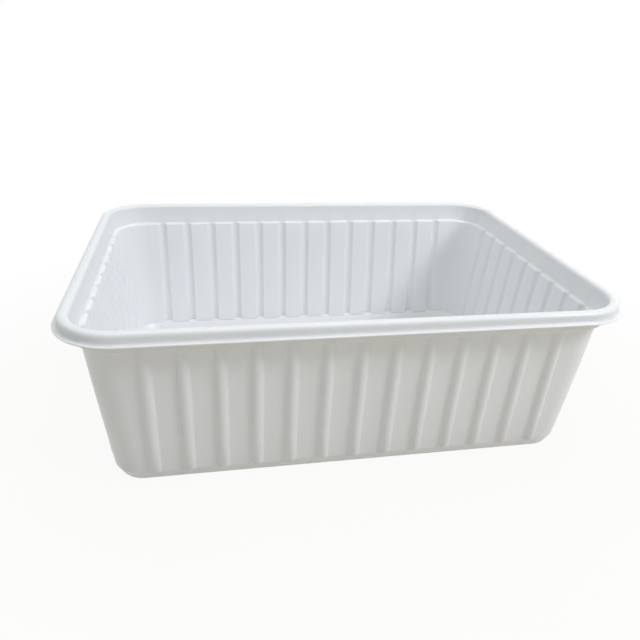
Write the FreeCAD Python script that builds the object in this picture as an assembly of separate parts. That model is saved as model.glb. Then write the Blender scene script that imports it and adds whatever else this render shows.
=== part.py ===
"""Thermoformed plastic tray: one sheet drawn over a mould and trimmed round its lip.

Millimetres, +Z up. The origin is the middle of the base, on the surface the tray stands on,
and the long side lies along X. The sheet has two skins: the outer one faces the mould's
outside and the floor below, the inner one faces what the tray holds. Each skin bounds a
solid made by the same functions at its own depth in the sheet, and the tray is the outer
solid with the inner one taken out of it, under a rim swept round the lip.
"""
import FreeCAD, Part
import math
import os

# Overall size
RIM_LENGTH = 400.0        # lip edge to lip edge along X
RIM_WIDTH = 300.0         # lip edge to lip edge along Y
TRAY_HEIGHT = 130.0       # base to the top of the rim
SHEET = 0.9               # thickness of the formed sheet
DRAFT = 6.0               # degrees by which the walls lean outwards
LIP_CORNER = 42.0         # plan radius of the lip at the four corners

# Rim: a rolled crown, a short skirt and a flared lip
CROWN_RADIUS = 3.9        # inner skin over the top of the rim
CROWN_FLAT = 22.5         # most degrees that one flat of the crown turns
LIP_REACH = 3.0           # lip edge beyond the outer side of the crown
LIP_DROP = 7.3            # underside of the lip below the top of the rim
LIP_BEND = 1.6            # inner skin where the skirt turns out into the lip
LIP_FLAT = 45.0           # most degrees that one flat of that bend turns

# Shoulder: the step in the wall that nested trays come to rest on
SHOULDER_DROP = 18.3      # underside of the shoulder below the top of the rim
SHOULDER_STEP = 4.0       # how far the wall steps in

# Base
BASE_BEND = 5.0           # outer skin between the floor and the walls

# Ribs: upright corrugations pressed outwards from the walls
RIB_PITCH = 24.0          # spacing along each wall
RIB_WIDTH = 9.6           # across a rib where it leaves the wall
RIB_HEIGHT = 2.8          # how far it stands out
RIB_FOOT = 5.5            # lower end of a rib above the base
RIB_END_SLOPE = 25.0      # degrees by which that end slants up from the wall
RIB_EDGE_GAP = 1.5        # least flat wall between the last rib and the corner

# Worked out from the sizes above
LEAN = math.radians(DRAFT)
SHOULDER_Z = TRAY_HEIGHT - SHOULDER_DROP
CROWN_Z = TRAY_HEIGHT - CROWN_RADIUS
CROWN_INSET = LIP_REACH + CROWN_RADIUS
LIP_Z = TRAY_HEIGHT - LIP_DROP
JOIN_Z = (SHOULDER_Z + CROWN_Z) / 2
RIB_RADIUS = (RIB_WIDTH**2 / 4 + RIB_HEIGHT**2) / (2 * RIB_HEIGHT)


# ---- Where the skins run ----

def level_shift(depth):
    """Level distance by which a skin at this depth in the sheet lies inside the outer skin."""
    return depth / math.cos(LEAN)


def band_inset(z, depth):
    """Distance in from the lip edge to the wall above the shoulder."""
    beside_crown = CROWN_INSET + level_shift(CROWN_RADIUS - SHEET + depth)
    return beside_crown + (CROWN_Z - z) * math.tan(LEAN)


def wall_inset(z, depth):
    """Distance in from the lip edge to the wall below the shoulder."""
    return band_inset(z, depth) + SHOULDER_STEP


def outline(inset, z):
    """Level outline with straight sides and round corners, parallel to the lip edge."""
    corner = LIP_CORNER - inset
    diagonal = corner * math.sqrt(0.5)
    arcs = []
    for sx, sy in ((1, 1), (-1, 1), (-1, -1), (1, -1)):
        centre = FreeCAD.Vector(sx * (RIM_LENGTH / 2 - LIP_CORNER), sy * (RIM_WIDTH / 2 - LIP_CORNER), z)
        on_x = centre + FreeCAD.Vector(sx * corner, 0, 0)
        on_y = centre + FreeCAD.Vector(0, sy * corner, 0)
        middle = centre + FreeCAD.Vector(sx * diagonal, sy * diagonal, 0)
        first, last = (on_x, on_y) if sx == sy else (on_y, on_x)
        arcs.append((first, middle, last))
    edges = []
    for here, there in zip(arcs, arcs[1:] + arcs[:1]):
        edges.append(Part.Arc(*here).toShape())
        edges.append(Part.makeLine(here[-1], there[0]))
    return Part.Wire(edges)


# ---- The solid inside one skin ----

def edges_along(shape, inset, z):
    """Edges of a shape that lie on the outline at this inset and height."""
    track = outline(inset, z)
    tolerance = 1e-4
    found = []
    for edge in shape.Edges:
        points = edge.discretize(3)
        if all(track.distToShape(Part.Vertex(point))[0] < tolerance for point in points):
            found.append(edge)
    return found


def lower_block(depth):
    """Below the shoulder: leaning walls on a floor, with a rounded edge between them."""
    foot = outline(wall_inset(depth, depth), depth)
    top_z = SHOULDER_Z + depth
    head = outline(wall_inset(top_z, depth), top_z)
    block = Part.makeLoft([foot, head], True, True)
    bottom_edge = edges_along(block, wall_inset(depth, depth), depth)
    return block.makeFillet(BASE_BEND - depth, bottom_edge)


def upper_block(depth):
    """Above the shoulder, as far as the rim; the inner one stands proud, to leave it open."""
    low_z = SHOULDER_Z + depth
    high_z = JOIN_Z + depth
    low = outline(band_inset(low_z, depth), low_z)
    high = outline(band_inset(high_z, depth), high_z)
    return Part.makeLoft([low, high], True, True)


# ---- Ribs ----

def rib_section(depth):
    """Section across a rib, x along the wall and y out of it: an arc closed behind the wall."""
    radius = RIB_RADIUS - depth
    middle = RIB_HEIGHT - RIB_RADIUS
    half_width = math.sqrt(radius**2 - (middle + depth)**2)
    back = -depth - SHEET
    corners = [FreeCAD.Vector(side * half_width, y, 0)
               for side, y in ((-1, -depth), (-1, back), (1, back), (1, -depth))]
    top = FreeCAD.Vector(0, middle + radius, 0)
    arc = Part.Arc(corners[0], top, corners[-1]).toShape()
    return Part.Face(Part.Wire(Part.makePolygon(corners).Edges + [arc]))


def rib_solid(depth):
    """One rib in the middle of a wall, y counted outwards from the lip edge and z from the base."""
    across_rib = FreeCAD.Vector(1, 0, 0)
    wall_foot = FreeCAD.Vector(0, -wall_inset(0, 0), 0)
    top_z = SHOULDER_Z + depth + SHOULDER_STEP
    prism = rib_section(depth).extrude(FreeCAD.Vector(0, 0, top_z / math.cos(LEAN)))
    prism.rotate(FreeCAD.Vector(0, 0, 0), across_rib, -DRAFT)
    prism.translate(wall_foot)
    return prism.common(above_rib_foot(depth))


def above_rib_foot(depth):
    """All that lies above the slanting lower end of a rib."""
    slope = math.radians(RIB_END_SLOPE)
    middle = FreeCAD.Vector(0, -wall_inset(RIB_FOOT, 0), RIB_FOOT + depth / math.cos(slope))
    reach = 2 * TRAY_HEIGHT
    ahead = FreeCAD.Vector(0, reach * math.cos(slope), reach * math.sin(slope))
    sideways = FreeCAD.Vector(RIB_WIDTH, 0, 0)
    upwards = FreeCAD.Vector(0, 0, reach)
    corners = [middle - ahead, middle + ahead, middle + ahead + upwards, middle - ahead + upwards]
    outline_points = [corner - sideways for corner in corners + corners[:1]]
    return Part.Face(Part.makePolygon(outline_points)).extrude(sideways * 2)


def rib_places(straight):
    """Middles of the ribs along a wall whose straight part has this half length."""
    room = straight - RIB_EDGE_GAP - RIB_WIDTH / 2
    each_way = int(room // RIB_PITCH)
    return [RIB_PITCH * step for step in range(-each_way, each_way + 1)]


def all_ribs(depth):
    """The ribs of all four walls."""
    pattern = rib_solid(depth)
    ribs = []
    for turn in (0, 90, 180, 270):
        along, across = (RIM_LENGTH, RIM_WIDTH) if turn % 180 == 0 else (RIM_WIDTH, RIM_LENGTH)
        for place in rib_places(along / 2 - LIP_CORNER):
            rib = pattern.translated(FreeCAD.Vector(place, across / 2, 0))
            rib.rotate(FreeCAD.Vector(0, 0, 0), FreeCAD.Vector(0, 0, 1), turn)
            ribs.append(rib)
    return ribs


def skin_solid(depth):
    """Everything inside the skin that lies this deep in the sheet."""
    blocks = lower_block(depth).fuse(upper_block(depth))
    return blocks.multiFuse(all_ribs(depth)).removeSplitter()


# ---- Rim ----

def rim_point(inset, z):
    """Point of the rim's section, on the plane through a corner's upright axis."""
    return FreeCAD.Vector(LIP_CORNER - inset, 0, z)


def rim_bend(inset, z, radius, start, end, flat):
    """Bend of the rim's section in short flats, angles in degrees from inwards to upwards."""
    flats = math.ceil(abs(end - start) / flat)
    points = []
    for step in range(flats + 1):
        turn = math.radians(start + (end - start) * step / flats)
        points.append(rim_point(inset + radius * math.cos(turn), z + radius * math.sin(turn)))
    return points


def rim_skin(depth):
    """One skin of the rim, from the joint with the wall over the crown and out to the lip."""
    crown = CROWN_RADIUS - SHEET + depth
    bend = LIP_BEND + SHEET - depth
    bend_inset = LIP_REACH - LIP_BEND
    bend_z = LIP_Z + SHEET + LIP_BEND
    joint = rim_point(band_inset(JOIN_Z, depth), JOIN_Z)
    rise = rim_bend(CROWN_INSET, CROWN_Z, crown, DRAFT, 90, CROWN_FLAT)
    fall = rim_bend(CROWN_INSET, CROWN_Z, crown, 90, 180, CROWN_FLAT)
    flare = rim_bend(bend_inset, bend_z, bend, 0, -90, LIP_FLAT)
    tip = rim_point(0, LIP_Z + depth)
    return [joint] + rise + fall[1:] + flare + [tip]


def rim_section():
    """Closed section of the rim's sheet."""
    around = rim_skin(0) + rim_skin(SHEET)[::-1]
    return Part.Face(Part.makePolygon(around + around[:1]))


def rim():
    """The rim's section swept once round: four turned corners and four straight lengths."""
    section = rim_section()
    upright = FreeCAD.Vector(0, 0, 1)
    pieces = []
    for turn in (0, 90, 180, 270):
        along, across = (RIM_WIDTH, RIM_LENGTH) if turn % 180 == 0 else (RIM_LENGTH, RIM_WIDTH)
        axis = FreeCAD.Vector(across / 2 - LIP_CORNER, along / 2 - LIP_CORNER, 0)
        placed = section.translated(axis)
        corner = placed.revolve(axis, upright, 90)
        length = placed.extrude(FreeCAD.Vector(0, 2 * LIP_CORNER - along, 0))
        for piece in (corner, length):
            piece.rotate(FreeCAD.Vector(0, 0, 0), upright, turn)
            pieces.append(piece)
    return pieces[0].multiFuse(pieces[1:])


def tray():
    """The whole formed sheet."""
    body = skin_solid(0).cut(skin_solid(SHEET))
    return body.fuse(rim()).removeSplitter()


def main():
    os.makedirs("parts", exist_ok=True)
    shape = tray()
    print("valid", shape.isValid(), "solids", len(shape.Solids), "faces", len(shape.Faces),
          "volume", round(shape.Volume), "box", shape.BoundBox)
    shape.Solids[0].exportStep("parts/tray.step")


main()
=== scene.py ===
import math

import bmesh
import bpy
from mathutils import Matrix, Vector


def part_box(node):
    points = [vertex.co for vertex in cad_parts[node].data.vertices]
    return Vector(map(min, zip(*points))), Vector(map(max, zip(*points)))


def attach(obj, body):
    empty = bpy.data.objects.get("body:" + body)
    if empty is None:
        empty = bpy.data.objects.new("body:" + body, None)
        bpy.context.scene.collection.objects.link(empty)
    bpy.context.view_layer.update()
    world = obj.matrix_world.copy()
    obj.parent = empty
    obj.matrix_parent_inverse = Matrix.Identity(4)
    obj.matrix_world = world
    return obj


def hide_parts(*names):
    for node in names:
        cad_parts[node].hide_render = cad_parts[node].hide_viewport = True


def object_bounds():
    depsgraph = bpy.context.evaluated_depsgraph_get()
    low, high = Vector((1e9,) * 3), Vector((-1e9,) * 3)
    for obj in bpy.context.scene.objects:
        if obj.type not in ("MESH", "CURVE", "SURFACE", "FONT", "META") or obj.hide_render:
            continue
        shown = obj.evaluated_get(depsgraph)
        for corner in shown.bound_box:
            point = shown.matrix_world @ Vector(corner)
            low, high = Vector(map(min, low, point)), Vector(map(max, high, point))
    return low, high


bl_info = {
    "name": "Thermoformed tray",
    "version": (1, 0, 0),
    "blender": (4, 5, 0),
    "location": "3D View > Sidebar > Tray",
    "description": "Forms a ribbed plastic tray from one sheet and sets it on a pale stage",
    "category": "Object",
}

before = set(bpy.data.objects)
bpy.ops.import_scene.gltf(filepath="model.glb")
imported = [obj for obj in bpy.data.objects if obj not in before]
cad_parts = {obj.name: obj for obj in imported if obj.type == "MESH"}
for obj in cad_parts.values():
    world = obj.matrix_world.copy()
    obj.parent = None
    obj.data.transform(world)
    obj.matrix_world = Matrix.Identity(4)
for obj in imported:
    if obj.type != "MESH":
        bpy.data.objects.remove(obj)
CAD_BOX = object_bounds()

TRAY_NODE = "tray"
BODY = "root"

MM = 0.001
CLOSE = 0.001 * MM              # vertices nearer than this are one
SHARP_TURN = math.radians(60)   # edges that turn by more than this are rounded
FLOOR_HALF = 4.0
SENSOR_WIDTH = 36               # of the camera, in millimetres
WHITE = (1, 1, 1, 1)

# Steps round the bends and along the rows of the sheet
RIB_COLUMNS = 6
BASE_STEPS = 6
FOOT_EDGE_STEPS = 5
RIB_FOOT_STEPS = 6
WALL_STEPS = 5
SHOULDER_STEPS = 4
CROWN_STEPS = 16
LIP_STEPS = 6
CORNER_STEPS = 18
EDGE_STEPS = 2

# Colour sockets of the Mix node, by number, because its other sockets have the same names
MIX_FIRST = 6
MIX_SECOND = 7
MIX_RESULT = 2


# ---- Settings ----

class TrayShape(bpy.types.PropertyGroup):
    """Sizes of the formed sheet; its length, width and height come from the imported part."""

    sheet: bpy.props.FloatProperty(
        name="Sheet", description="Thickness of the formed sheet",
        default=0.9 * MM, min=0.2 * MM, subtype="DISTANCE", unit="LENGTH")
    draft: bpy.props.FloatProperty(
        name="Draft", description="Angle by which the walls lean outwards",
        default=math.radians(6.0), subtype="ANGLE")
    lip_corner: bpy.props.FloatProperty(
        name="Lip corner", description="Plan radius of the lip at the four corners",
        default=42 * MM, subtype="DISTANCE", unit="LENGTH")
    crown_radius: bpy.props.FloatProperty(
        name="Crown", description="Radius of the rolled rim, on the side that faces up",
        default=3.9 * MM, subtype="DISTANCE", unit="LENGTH")
    crown_square: bpy.props.FloatProperty(
        name="Crown squareness", description="2 rolls the rim round; more makes it flatter on top",
        default=2.7, min=2)
    lip_reach: bpy.props.FloatProperty(
        name="Lip reach", description="Lip edge beyond the outer side of the crown",
        default=3.0 * MM, subtype="DISTANCE", unit="LENGTH")
    lip_drop: bpy.props.FloatProperty(
        name="Lip drop", description="Underside of the lip below the top of the rim",
        default=8.2 * MM, subtype="DISTANCE", unit="LENGTH")
    lip_bend: bpy.props.FloatProperty(
        name="Lip bend", description="Radius where the skirt turns out into the lip, upper side",
        default=1.6 * MM, subtype="DISTANCE", unit="LENGTH")
    shoulder_drop: bpy.props.FloatProperty(
        name="Shoulder drop", description="Underside of the shoulder below the top of the rim",
        default=18.3 * MM, subtype="DISTANCE", unit="LENGTH")
    shoulder_step: bpy.props.FloatProperty(
        name="Shoulder step", description="How far the wall steps in below the shoulder",
        default=4.0 * MM, subtype="DISTANCE", unit="LENGTH")
    shoulder_bend: bpy.props.FloatProperty(
        name="Shoulder bend", description="Tighter radius of the two bends at the shoulder",
        default=0.8 * MM, subtype="DISTANCE", unit="LENGTH")
    foot_height: bpy.props.FloatProperty(
        name="Foot height", description="Height of the tapered foot under the walls",
        default=7.4 * MM, subtype="DISTANCE", unit="LENGTH")
    foot_lean: bpy.props.FloatProperty(
        name="Foot lean", description="Angle by which the foot leans outwards",
        default=math.radians(24.0), subtype="ANGLE")
    foot_step: bpy.props.FloatProperty(
        name="Foot step", description="How far the wall stands out over the foot",
        default=0.6 * MM, subtype="DISTANCE", unit="LENGTH")
    foot_edge: bpy.props.FloatProperty(
        name="Foot edge", description="Height over which the wall steps in to the foot",
        default=1.0 * MM, subtype="DISTANCE", unit="LENGTH")
    foot_bend: bpy.props.FloatProperty(
        name="Foot bend", description="Outer radius between the floor and the foot",
        default=2.5 * MM, subtype="DISTANCE", unit="LENGTH")
    corner_ease: bpy.props.FloatProperty(
        name="Corner ease", description="Extra plan radius of the corners at the base",
        default=6.8 * MM, subtype="DISTANCE", unit="LENGTH")
    floor_border: bpy.props.FloatProperty(
        name="Floor border", description="Width of the flat border inside the edge of the floor",
        default=1.5 * MM, subtype="DISTANCE", unit="LENGTH")
    edge_round: bpy.props.FloatProperty(
        name="Edge round", description="How far the trimmed edge of the lip is rounded off",
        default=0.2 * MM, subtype="DISTANCE", unit="LENGTH")
    rib_pitch: bpy.props.FloatProperty(
        name="Rib pitch", description="Spacing of the ribs along each wall",
        default=24 * MM, subtype="DISTANCE", unit="LENGTH")
    rib_height: bpy.props.FloatProperty(
        name="Rib height", description="How far a rib stands out of the wall",
        default=2.8 * MM, subtype="DISTANCE", unit="LENGTH")
    rib_crown: bpy.props.FloatProperty(
        name="Rib crown", description="Outer radius over the top of a rib",
        default=4.8 * MM, subtype="DISTANCE", unit="LENGTH")
    rib_root: bpy.props.FloatProperty(
        name="Rib root", description="Outer radius where a rib meets the wall",
        default=0.7 * MM, subtype="DISTANCE", unit="LENGTH")
    rib_foot_length: bpy.props.FloatProperty(
        name="Rib foot length", description="Height over which a rib rises from the wall, above the foot",
        default=1.4 * MM, subtype="DISTANCE", unit="LENGTH")
    rib_edge_gap: bpy.props.FloatProperty(
        name="Rib edge gap", description="Least flat wall between the last rib and the corner",
        default=1.5 * MM, subtype="DISTANCE", unit="LENGTH")


class TrayFinish(bpy.types.PropertyGroup):
    """Colour and surface of the plastic."""

    colour: bpy.props.FloatVectorProperty(
        name="Colour", description="Colour of the sheet",
        default=(0.86, 0.86, 0.87), size=3, min=0, max=1, subtype="COLOR")
    tint: bpy.props.FloatVectorProperty(
        name="Tint", description="Colour of the faint cloudy patches in the sheet",
        default=(0.83, 0.835, 0.86), size=3, min=0, max=1, subtype="COLOR")
    cloud_scale: bpy.props.FloatProperty(
        name="Clouds", description="Cloudy patches to the metre",
        default=18.0, min=0)
    roughness: bpy.props.FloatProperty(
        name="Roughness", description="Roughness of the formed surface",
        default=0.30, min=0, max=1)
    roughness_spread: bpy.props.FloatProperty(
        name="Roughness spread", description="How much the roughness differs between the patches",
        default=0.12, min=0, max=1)
    ripple: bpy.props.FloatProperty(
        name="Ripple", description="Depth of the slow ripples that forming leaves in the sheet",
        default=0.10 * MM, subtype="DISTANCE", unit="LENGTH")
    ripple_scale: bpy.props.FloatProperty(
        name="Ripples", description="Ripples to the metre",
        default=45.0, min=0)
    grain_share: bpy.props.FloatProperty(
        name="Grain", description="Height of the fine grain as a share of the ripples",
        default=0.04, min=0, max=1)
    grain_scale: bpy.props.FloatProperty(
        name="Grain scale", description="Grains to the metre",
        default=900.0, min=0)
    gloss_index: bpy.props.FloatProperty(
        name="Gloss index", description="Index of refraction of the plastic",
        default=1.5, min=1)
    glow: bpy.props.FloatProperty(
        name="Glow", description="Share of the light that goes into the thin sheet and out again",
        default=0.6, min=0, max=1, subtype="FACTOR")
    glow_reach: bpy.props.FloatProperty(
        name="Glow reach", description="How far that light spreads inside the sheet",
        default=2.0 * MM, min=0, subtype="DISTANCE", unit="LENGTH")
    glow_spread: bpy.props.FloatVectorProperty(
        name="Glow spread", description="Spread of its red, green and blue beside each other",
        default=(1.0, 0.95, 0.9), size=3, min=0)


class StageLook(bpy.types.PropertyGroup):
    """Floor, light and camera."""

    floor_colour: bpy.props.FloatVectorProperty(
        name="Floor", description="Colour of the floor",
        default=(0.68, 0.59, 0.47), size=3, min=0, max=1, subtype="COLOR")
    floor_lift: bpy.props.FloatProperty(
        name="Floor lift", description="Share of plain white in the seen floor, beside the tray",
        default=0.93, min=0, max=1, subtype="FACTOR")
    floor_near: bpy.props.FloatProperty(
        name="Floor near", description="Distance from the middle at which the floor starts to turn white",
        default=0.22, min=0, subtype="DISTANCE", unit="LENGTH")
    floor_far: bpy.props.FloatProperty(
        name="Floor far", description="Distance from the middle past which the seen floor is white",
        default=0.50, min=0, subtype="DISTANCE", unit="LENGTH")
    sky_colour: bpy.props.FloatVectorProperty(
        name="Sky", description="Colour of the soft light from all round",
        default=(0.80, 0.94, 1.0), size=3, min=0, max=1, subtype="COLOR")
    sky_strength: bpy.props.FloatProperty(
        name="Sky strength", description="Level of the soft light from all round",
        default=0.44, min=0)
    key_power: bpy.props.FloatProperty(
        name="Key power", description="Power of the lamp on the right",
        default=8.6, min=0, unit="POWER")
    key_size: bpy.props.FloatProperty(
        name="Key size", description="Side of the square lamp on the right",
        default=0.35, min=0.01, subtype="DISTANCE", unit="LENGTH")
    key_place: bpy.props.FloatVectorProperty(
        name="Key place", description="Place of the lamp on the right",
        default=(0.95, -0.70, 1.05), size=3, subtype="TRANSLATION", unit="LENGTH")
    key_colour: bpy.props.FloatVectorProperty(
        name="Key colour", description="Colour of the lamp on the right",
        default=(0.95, 0.96, 1.0), size=3, min=0, max=1, subtype="COLOR")
    top_power: bpy.props.FloatProperty(
        name="Top power", description="Power of the large lamp overhead",
        default=8.5, min=0, unit="POWER")
    top_size: bpy.props.FloatProperty(
        name="Top size", description="Side of the square lamp overhead",
        default=1.2, min=0.01, subtype="DISTANCE", unit="LENGTH")
    top_place: bpy.props.FloatVectorProperty(
        name="Top place", description="Place of the lamp overhead",
        default=(0.0, 0.1, 1.4), size=3, subtype="TRANSLATION", unit="LENGTH")
    top_colour: bpy.props.FloatVectorProperty(
        name="Top colour", description="Colour of the lamp overhead",
        default=(1.0, 0.93, 0.86), size=3, min=0, max=1, subtype="COLOR")
    camera_place: bpy.props.FloatVectorProperty(
        name="Camera", description="Place of the camera",
        default=(-0.1013, -0.4965, 0.3026), size=3, subtype="TRANSLATION", unit="LENGTH")
    camera_turn: bpy.props.FloatProperty(
        name="Turn", description="Turn of the camera about the upright, from looking along Y",
        default=-0.222, subtype="ANGLE")
    camera_dip: bpy.props.FloatProperty(
        name="Dip", description="Angle by which the camera looks down",
        default=0.447, subtype="ANGLE")
    camera_roll: bpy.props.FloatProperty(
        name="Roll", description="Turn of the camera about its line of sight",
        default=0.053, subtype="ANGLE")
    camera_lens: bpy.props.FloatProperty(
        name="Lens", description="Focal length on a 36 mm sensor, in millimetres",
        default=35.33, min=1, unit="CAMERA")
    camera_shift: bpy.props.FloatVectorProperty(
        name="Shift", description="Sideways and upward shift of the frame",
        default=(-0.0278, 0.0055), size=2)


# ---- Section of the sheet ----

def eased(share):
    """A share from 0 to 1 with a soft start and end."""
    return share * share * (3 - 2 * share)


def bend(centre, radius, start, end, steps, power=2.0):
    """Points round a bend about (inset, z), angles in degrees from inwards to upwards.

    A power above 2 makes the bend squarer than a circle.
    """
    points = []
    for step in range(steps + 1):
        turn = math.radians(start + (end - start) * step / steps)
        across, up = math.cos(turn), math.sin(turn)
        reach = radius / (abs(across)**power + abs(up)**power)**(1 / power)
        points.append((centre[0] + reach * across, centre[1] + reach * up))
    return points


class Section:
    """Outer skin of the sheet, from the floor's edge to the lip, as insets and heights."""

    def __init__(self, shape):
        _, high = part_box(TRAY_NODE)
        self.shape = shape
        self.half_length = high.x
        self.half_width = high.y
        self.top = high.z
        self.crown = shape.crown_radius - shape.sheet
        self.crown_z = self.top - shape.crown_radius
        self.crown_inset = shape.lip_reach + shape.crown_radius
        self.shoulder_z = self.top - shape.shoulder_drop
        self.wall_foot_z = shape.foot_height + shape.foot_edge

    def band_inset(self, z):
        """Distance in from the lip edge to the wall above the shoulder."""
        beside_crown = self.crown_inset + self.crown / math.cos(self.shape.draft)
        return beside_crown + (self.crown_z - z) * math.tan(self.shape.draft)

    def wall_inset(self, z):
        """Distance in from the lip edge to the wall below the shoulder."""
        return self.band_inset(z) + self.shape.shoulder_step

    def foot_inset(self, z):
        """Distance in from the lip edge to the tapered foot."""
        over = self.wall_inset(self.shape.foot_height) + self.shape.foot_step
        return over + (self.shape.foot_height - z) * math.tan(self.shape.foot_lean)

    def foot_points(self):
        """The bend at the floor's edge, the tapered foot and the small step out to the wall."""
        shape = self.shape
        lean = shape.foot_lean
        centre = (self.foot_inset(shape.foot_bend) + shape.foot_bend / math.cos(lean), shape.foot_bend)
        points = bend(centre, shape.foot_bend, -90, math.degrees(lean) - 180, BASE_STEPS)
        for step in range(FOOT_EDGE_STEPS + 1):
            share = step / FOOT_EDGE_STEPS
            z = shape.foot_height + shape.foot_edge * share
            step_out = (self.wall_inset(z) - self.foot_inset(z)) * eased(share)
            points.append((self.foot_inset(z) + step_out, z))
        return points

    def wall_heights(self):
        """Heights of the rows up the wall, close together where the ribs rise out of it."""
        rise = self.shape.rib_foot_length
        low_z = self.wall_foot_z + rise
        high_z = self.shoulder_z - self.shape.shoulder_bend
        rib_feet = [self.wall_foot_z + rise * step / RIB_FOOT_STEPS for step in range(1, RIB_FOOT_STEPS)]
        above = [low_z + (high_z - low_z) * step / WALL_STEPS for step in range(WALL_STEPS)]
        return rib_feet + above

    def rib_share(self, z):
        """Share of its full height that a rib has at this height on the wall."""
        climbed = (z - self.wall_foot_z) / self.shape.rib_foot_length
        return eased(min(max(climbed, 0.0), 1.0))

    def shoulder_points(self):
        """The two bends of the shoulder, over which the ribs run out."""
        lean = self.shape.draft
        lean_degrees = math.degrees(lean)
        inner = self.shape.shoulder_bend
        outer = inner + self.shape.sheet
        inner_z = self.shoulder_z - inner
        outer_z = self.shoulder_z + outer
        under = (self.wall_inset(inner_z) - inner / math.cos(lean), inner_z)
        over = (self.band_inset(outer_z) + outer / math.cos(lean), outer_z)
        ledge = bend(under, inner, lean_degrees, 90, SHOULDER_STEPS)
        ledge += bend(over, outer, -90, lean_degrees - 180, SHOULDER_STEPS)
        first, last = ledge[0][0], ledge[-1][0]
        return [(inset, z, (inset - last) / (first - last)) for inset, z in ledge]

    def rim_points(self):
        """The crown, the skirt under it and the flared lip."""
        shape = self.shape
        lean_degrees = math.degrees(shape.draft)
        lip_z = self.top - shape.lip_drop
        crown = (self.crown_inset, self.crown_z)
        flare = (shape.lip_reach - shape.lip_bend, lip_z + shape.sheet + shape.lip_bend)
        points = bend(crown, self.crown, lean_degrees, 180, CROWN_STEPS, shape.crown_square)
        points += bend(flare, shape.lip_bend + shape.sheet, 0, -90, LIP_STEPS)
        return points + [(0.0, lip_z)]

    def points(self):
        """Inset, height and rib share of each point of the section, from the floor to the lip."""
        found = [(inset, z, 0.0) for inset, z in self.foot_points()]
        found += [(self.wall_inset(z), z, self.rib_share(z)) for z in self.wall_heights()]
        found += self.shoulder_points()
        found += [(inset, z, 0.0) for inset, z in self.rim_points()]
        return found

    # Ribs along a side, whose straight part has the half length that is given

    def rib_half_width(self):
        """Half of a rib's width, where its roots run out into the wall."""
        both = self.shape.rib_crown + self.shape.rib_root
        return math.sqrt(self.shape.rib_height * (2 * both - self.shape.rib_height))

    def last_rib(self, straight):
        """Number of the rib next to the corner; the one in the middle is 0."""
        room = straight - self.shape.rib_edge_gap - self.rib_half_width()
        return int(room // self.shape.rib_pitch)

    def rib_rise(self, along, straight):
        """How far the wall stands out at this distance from the middle of the side."""
        shape = self.shape
        half = self.rib_half_width()
        nearest = min(round(along / shape.rib_pitch), self.last_rib(straight))
        away = abs(along - nearest * shape.rib_pitch)
        turning = half * shape.rib_crown / (shape.rib_crown + shape.rib_root)
        if away >= half:
            return 0.0
        if away > turning:
            return shape.rib_root - math.sqrt(shape.rib_root**2 - (half - away)**2)
        return shape.rib_height - shape.rib_crown + math.sqrt(shape.rib_crown**2 - away**2)

    def stations(self, straight):
        """Places along half the side where the sheet needs a row of vertices."""
        half = self.rib_half_width()
        steps = range(-RIB_COLUMNS, RIB_COLUMNS + 1)
        across = [half * math.sin(math.pi / 2 * step / RIB_COLUMNS) for step in steps]
        middles = [rib * self.shape.rib_pitch for rib in range(self.last_rib(straight) + 1)]
        places = [middle + offset for middle in middles for offset in across]
        return [place for place in places if place > 0] + [straight]


# ---- Forming the sheet ----

def section_edges(bm, section):
    """The section as a chain of edges at the middle of a long side, with its rib shares."""
    share = bm.verts.layers.float.new("rib_share")
    verts = []
    for inset, z, rib_share in section.points():
        vert = bm.verts.new((0.0, section.half_width - inset, z))
        vert[share] = rib_share
        verts.append(vert)
    return [bm.edges.new(pair) for pair in zip(verts, verts[1:])]


def drawn_along(bm, edges, places, way):
    """Extrudes the section's edges from 0 through the places; returns the last ones."""
    at = 0.0
    for place in places:
        made = bmesh.ops.extrude_edge_only(bm, edges=edges)["geom"]
        verts = [item for item in made if isinstance(item, bmesh.types.BMVert)]
        made_edges = [item for item in made if isinstance(item, bmesh.types.BMEdge)]
        bmesh.ops.translate(bm, verts=verts, vec=way * (place - at))
        fresh = set(verts)
        edges = [edge for edge in made_edges if set(edge.verts) <= fresh]
        at = place
    return edges


def turned_round(bm, edges, centre):
    """Spins the section's edges a quarter turn round a corner's axis; returns the last ones."""
    verts = list(dict.fromkeys(vert for edge in edges for vert in edge.verts))
    made = bmesh.ops.spin(
        bm, geom=verts + edges, cent=centre, axis=(0, 0, 1), angle=-math.pi / 2, steps=CORNER_STEPS)
    return [item for item in made["geom_last"] if isinstance(item, bmesh.types.BMEdge)]


def press_ribs(bm, section, straight_x, straight_y):
    """Moves the walls of the first quarter out into their ribs."""
    share = bm.verts.layers.float["rib_share"]
    upright = 1 / math.cos(section.shape.draft)
    for vert in bm.verts:
        if vert.co.x <= straight_x:
            rise = section.rib_rise(vert.co.x, straight_x)
            vert.co.y += rise * vert[share] * upright
        elif vert.co.y <= straight_y:
            rise = section.rib_rise(vert.co.y, straight_y)
            vert.co.x += rise * vert[share] * upright


def ease_corner(bm, section, straight_x, straight_y):
    """Gives the corner of the first quarter a larger plan radius towards the base."""
    for vert in bm.verts:
        out = Vector((vert.co.x - straight_x, vert.co.y - straight_y, 0))
        if min(out.x, out.y) > -CLOSE and vert.co.z < section.shoulder_z:
            share = 1 - vert.co.z / section.shoulder_z
            ease = section.shape.corner_ease * share * share
            vert.co += out.normalized() * ease - Vector((ease, ease, 0))


def floor_face(bm, border):
    """Closes the floor, with a narrow flat border inside its edge."""
    open_edges = [edge for edge in bm.edges if edge.is_boundary]
    lowest = [edge for edge in open_edges if all(abs(vert.co.z) < CLOSE for vert in edge.verts)]
    floor = bmesh.ops.edgeloop_fill(bm, edges=lowest)["faces"]
    bmesh.ops.inset_region(bm, faces=floor, thickness=border, use_even_offset=True)


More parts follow.
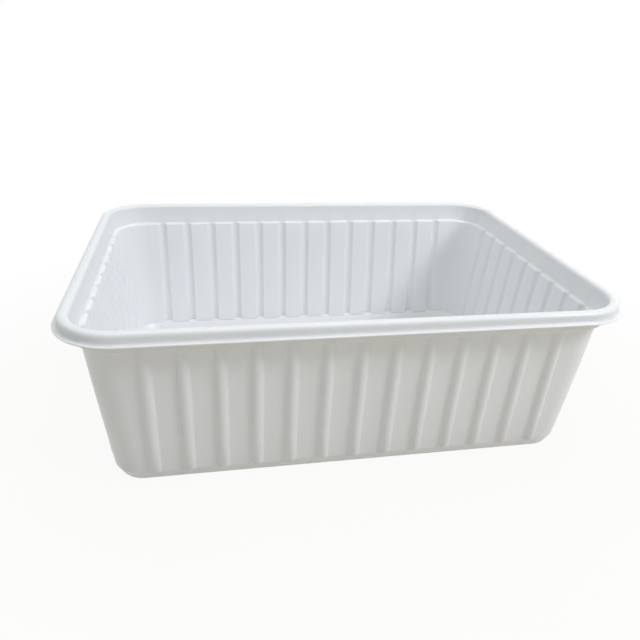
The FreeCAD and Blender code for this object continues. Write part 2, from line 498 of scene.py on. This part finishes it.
def round_edges(bm, offset):
    """Rounds the sharp edges that the trimming of the sheet leaves."""
    closed = [edge for edge in bm.edges if edge.is_manifold]
    sharp = [edge for edge in closed if edge.calc_face_angle() > SHARP_TURN]
    bmesh.ops.bevel(
        bm, geom=sharp, offset=offset, segments=EDGE_STEPS, profile=0.5, affect="EDGES", material=-1)


def form_sheet(shape):
    """The whole sheet as one closed mesh: a quarter of its outer skin, mirrored and thickened."""
    section = Section(shape)
    straight_x = section.half_length - shape.lip_corner
    straight_y = section.half_width - shape.lip_corner
    bm = bmesh.new()
    edges = section_edges(bm, section)
    edges = drawn_along(bm, edges, section.stations(straight_x), Vector((1, 0, 0)))
    edges = turned_round(bm, edges, (straight_x, straight_y, 0))
    *beside_ribs, corner = section.stations(straight_y)
    from_corner = [corner - place for place in reversed(beside_ribs)] + [corner]
    drawn_along(bm, edges, from_corner, Vector((0, -1, 0)))
    press_ribs(bm, section, straight_x, straight_y)
    ease_corner(bm, section, straight_x, straight_y)
    for axis in "XY":
        everything = bm.verts[:] + bm.edges[:] + bm.faces[:]
        bmesh.ops.mirror(bm, geom=everything, matrix=Matrix.Identity(4), merge_dist=CLOSE, axis=axis)
    floor_face(bm, shape.floor_border)
    bmesh.ops.remove_doubles(bm, verts=bm.verts[:], dist=CLOSE)
    bmesh.ops.recalc_face_normals(bm, faces=bm.faces[:])
    bmesh.ops.solidify(bm, geom=bm.faces[:], thickness=-shape.sheet)
    round_edges(bm, shape.edge_round)
    for face in bm.faces:
        face.smooth = True
    mesh = bpy.data.meshes.new("formed_sheet")
    bm.to_mesh(mesh)
    bm.free()
    return mesh


# ---- Shader wiring ----

class Value:
    """A shader socket that takes part in Python arithmetic by adding Math nodes."""

    def __init__(self, wiring, socket):
        self.wiring = wiring
        self.socket = socket

    def _math(self, operation, first, second):
        return self.wiring.node("ShaderNodeMath", {"operation": operation}, {0: first, 1: second})

    def __add__(self, other):
        return self._math("ADD", self, other)

    def __radd__(self, other):
        return self._math("ADD", other, self)

    def __sub__(self, other):
        return self._math("SUBTRACT", self, other)

    def __rsub__(self, other):
        return self._math("SUBTRACT", other, self)

    def __mul__(self, other):
        return self._math("MULTIPLY", self, other)

    def __rmul__(self, other):
        return self._math("MULTIPLY", other, self)


class Wiring:
    """Adds nodes to a material or world, with their settings and what feeds them."""

    def __init__(self, tree):
        self.tree = tree
        tree.nodes.clear()

    def node(self, kind, settings=None, inputs=None, output=0):
        """A node of this kind; its settings are set first, then its sockets; returns one output."""
        made = self.tree.nodes.new(kind)
        for name, value in (settings or {}).items():
            setattr(made, name, value)
        for name, value in (inputs or {}).items():
            if isinstance(value, Value):
                self.tree.links.new(value.socket, made.inputs[name])
            else:
                made.inputs[name].default_value = value
        return Value(self, made.outputs[output]) if len(made.outputs) else None

    def noise(self, place, scale, detail=2.0):
        """Soft noise from 0 to 1, this many patches to the metre."""
        return self.node("ShaderNodeTexNoise", {}, {
            "Vector": place, "Scale": scale, "Detail": detail, "Roughness": 0.5})

    def seen(self):
        """1 for what the camera sees, straight or by a reflection, and 0 for what gives light."""
        kinds = ("Is Camera Ray", "Is Glossy Ray", "Is Transmission Ray")
        straight, mirrored, through = [self.node("ShaderNodeLightPath", output=kind) for kind in kinds]
        return straight + mirrored + through

    def blend(self, share, first, second):
        """A colour from the first to the second by a share."""
        colours = {0: share, MIX_FIRST: first, MIX_SECOND: second}
        return self.node("ShaderNodeMix", {"data_type": "RGBA"}, colours, MIX_RESULT)


# ---- Plastic ----

def formed_plastic(finish):
    """White plastic with a soft gloss, faint clouds and the slow ripples of forming."""
    material = bpy.data.materials.new("formed_plastic")
    material.use_nodes = True
    wiring = Wiring(material.node_tree)
    place = wiring.node("ShaderNodeTexCoord", output="Object")
    clouds = wiring.noise(place, finish.cloud_scale)
    ripples = wiring.noise(place, finish.ripple_scale, detail=1.0)
    grain = wiring.noise(place, finish.grain_scale, detail=3.0)
    height = ripples + grain * finish.grain_share
    bump = wiring.node("ShaderNodeBump", {}, {
        "Strength": 1.0, "Distance": finish.ripple, "Height": height})
    surface = wiring.node("ShaderNodeBsdfPrincipled", {}, {
        "Base Color": wiring.blend(clouds, (*finish.colour, 1), (*finish.tint, 1)),
        "Roughness": (clouds - 0.5) * finish.roughness_spread + finish.roughness,
        "IOR": finish.gloss_index,
        "Subsurface Weight": finish.glow,
        "Subsurface Radius": tuple(finish.glow_spread),
        "Subsurface Scale": finish.glow_reach,
        "Normal": bump,
    })
    wiring.node("ShaderNodeOutputMaterial", {}, {"Surface": surface})
    return material


# ---- Stage ----

def pale_floor(stage):
    """Pale matt floor that looks white to the camera and keeps the tray's shadow."""
    material = bpy.data.materials.new("pale_floor")
    material.use_nodes = True
    wiring = Wiring(material.node_tree)
    matt = wiring.node("ShaderNodeBsdfDiffuse", {}, {"Color": (*stage.floor_colour, 1)})
    white = wiring.node("ShaderNodeEmission", {}, {"Color": WHITE, "Strength": 1.0})
    place = wiring.node("ShaderNodeTexCoord", output="Object")
    away = wiring.node("ShaderNodeVectorMath", {"operation": "LENGTH"}, {0: place}, "Value")
    lift = wiring.node("ShaderNodeMapRange", {"interpolation_type": "SMOOTHSTEP"}, {
        "Value": away, "From Min": stage.floor_near, "From Max": stage.floor_far,
        "To Min": stage.floor_lift, "To Max": 1.0})
    both = wiring.node("ShaderNodeMixShader", {}, {0: wiring.seen() * lift, 1: matt, 2: white})
    wiring.node("ShaderNodeOutputMaterial", {}, {"Surface": both})
    return material


def soft_sky(stage):
    """Even light from all round, white where the camera or a reflection sees it."""
    world = bpy.data.worlds.new("soft_sky")
    world.use_nodes = True
    wiring = Wiring(world.node_tree)
    sky = wiring.node("ShaderNodeBackground", {}, {
        "Color": (*stage.sky_colour, 1), "Strength": stage.sky_strength})
    white = wiring.node("ShaderNodeBackground", {}, {"Color": WHITE, "Strength": 1.0})
    both = wiring.node("ShaderNodeMixShader", {}, {0: wiring.seen(), 1: sky, 2: white})
    wiring.node("ShaderNodeOutputWorld", {}, {"Surface": both})
    return world


def add_floor(context, stage):
    """A large flat floor through the origin."""
    bm = bmesh.new()
    bmesh.ops.create_grid(bm, x_segments=1, y_segments=1, size=FLOOR_HALF)
    mesh = bpy.data.meshes.new("floor")
    bm.to_mesh(mesh)
    bm.free()
    floor = bpy.data.objects.new("floor", mesh)
    context.scene.collection.objects.link(floor)
    mesh.materials.append(pale_floor(stage))


def add_lamp(context, name, place, size, power, colour):
    """A square lamp at a place, turned to the middle of the tray."""
    light = bpy.data.lights.new(name, "AREA")
    light.size = size
    light.energy = power
    light.color = colour
    lamp = bpy.data.objects.new(name, light)
    context.scene.collection.objects.link(lamp)
    low, high = CAD_BOX
    middle = (Vector(low) + Vector(high)) / 2
    lamp.location = place
    lamp.rotation_euler = (middle - Vector(place)).to_track_quat("-Z", "Y").to_euler()


def set_camera(context, stage):
    """The camera that the stage's settings describe."""
    camera = bpy.data.cameras.new("camera")
    camera.lens = stage.camera_lens
    camera.sensor_width = SENSOR_WIDTH
    camera.shift_x, camera.shift_y = stage.camera_shift
    holder = bpy.data.objects.new("camera", camera)
    context.scene.collection.objects.link(holder)
    turn = Matrix.Rotation(stage.camera_turn, 4, "Z")
    dip = Matrix.Rotation(math.pi / 2 - stage.camera_dip, 4, "X")
    roll = Matrix.Rotation(stage.camera_roll, 4, "Z")
    holder.matrix_world = Matrix.Translation(stage.camera_place) @ turn @ dip @ roll
    context.scene.camera = holder


# ---- Operators and panel ----

class TRAY_OT_form_sheet(bpy.types.Operator):
    """Form the tray from one sheet"""

    bl_idname = "tray.form_sheet"
    bl_label = "Form the tray"

    def execute(self, context):
        mesh = form_sheet(context.scene.tray_shape)
        piece = bpy.data.objects.new("formed_tray", mesh)
        context.scene.collection.objects.link(piece)
        mesh.materials.append(formed_plastic(context.scene.tray_finish))
        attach(piece, BODY)
        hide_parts(TRAY_NODE)
        return {"FINISHED"}


class TRAY_OT_set_stage(bpy.types.Operator):
    """Set the floor, the light and the camera"""

    bl_idname = "tray.set_stage"
    bl_label = "Set the stage"

    def execute(self, context):
        stage = context.scene.stage_look
        add_floor(context, stage)
        context.scene.world = soft_sky(stage)
        add_lamp(context, "key", stage.key_place, stage.key_size, stage.key_power, stage.key_colour)
        add_lamp(context, "top", stage.top_place, stage.top_size, stage.top_power, stage.top_colour)
        set_camera(context, stage)
        context.scene.view_settings.view_transform = "Standard"
        return {"FINISHED"}


class VIEW3D_PT_tray(bpy.types.Panel):
    """Lists the operators and their settings in the sidebar"""

    bl_label = "Thermoformed tray"
    bl_idname = "VIEW3D_PT_tray"
    bl_space_type = "VIEW_3D"
    bl_region_type = "UI"
    bl_category = "Tray"

    def draw(self, context):
        scene = context.scene
        for operator in (TRAY_OT_form_sheet, TRAY_OT_set_stage):
            self.layout.operator(operator.bl_idname)
        for settings in (scene.tray_shape, scene.tray_finish, scene.stage_look):
            box = self.layout.box()
            for name in settings.bl_rna.properties.keys():
                if name not in ("rna_type", "name"):
                    box.prop(settings, name)


CLASSES = (TrayShape, TrayFinish, StageLook, TRAY_OT_form_sheet, TRAY_OT_set_stage, VIEW3D_PT_tray)


def register():
    for item in CLASSES:
        bpy.utils.register_class(item)
    bpy.types.Scene.tray_shape = bpy.props.PointerProperty(type=TrayShape)
    bpy.types.Scene.tray_finish = bpy.props.PointerProperty(type=TrayFinish)
    bpy.types.Scene.stage_look = bpy.props.PointerProperty(type=StageLook)


def unregister():
    del bpy.types.Scene.stage_look
    del bpy.types.Scene.tray_finish
    del bpy.types.Scene.tray_shape
    for item in reversed(CLASSES):
        bpy.utils.unregister_class(item)


def main():
    register()
    bpy.ops.tray.form_sheet()
    bpy.ops.tray.set_stage()


if __name__ == "__main__":
    main()
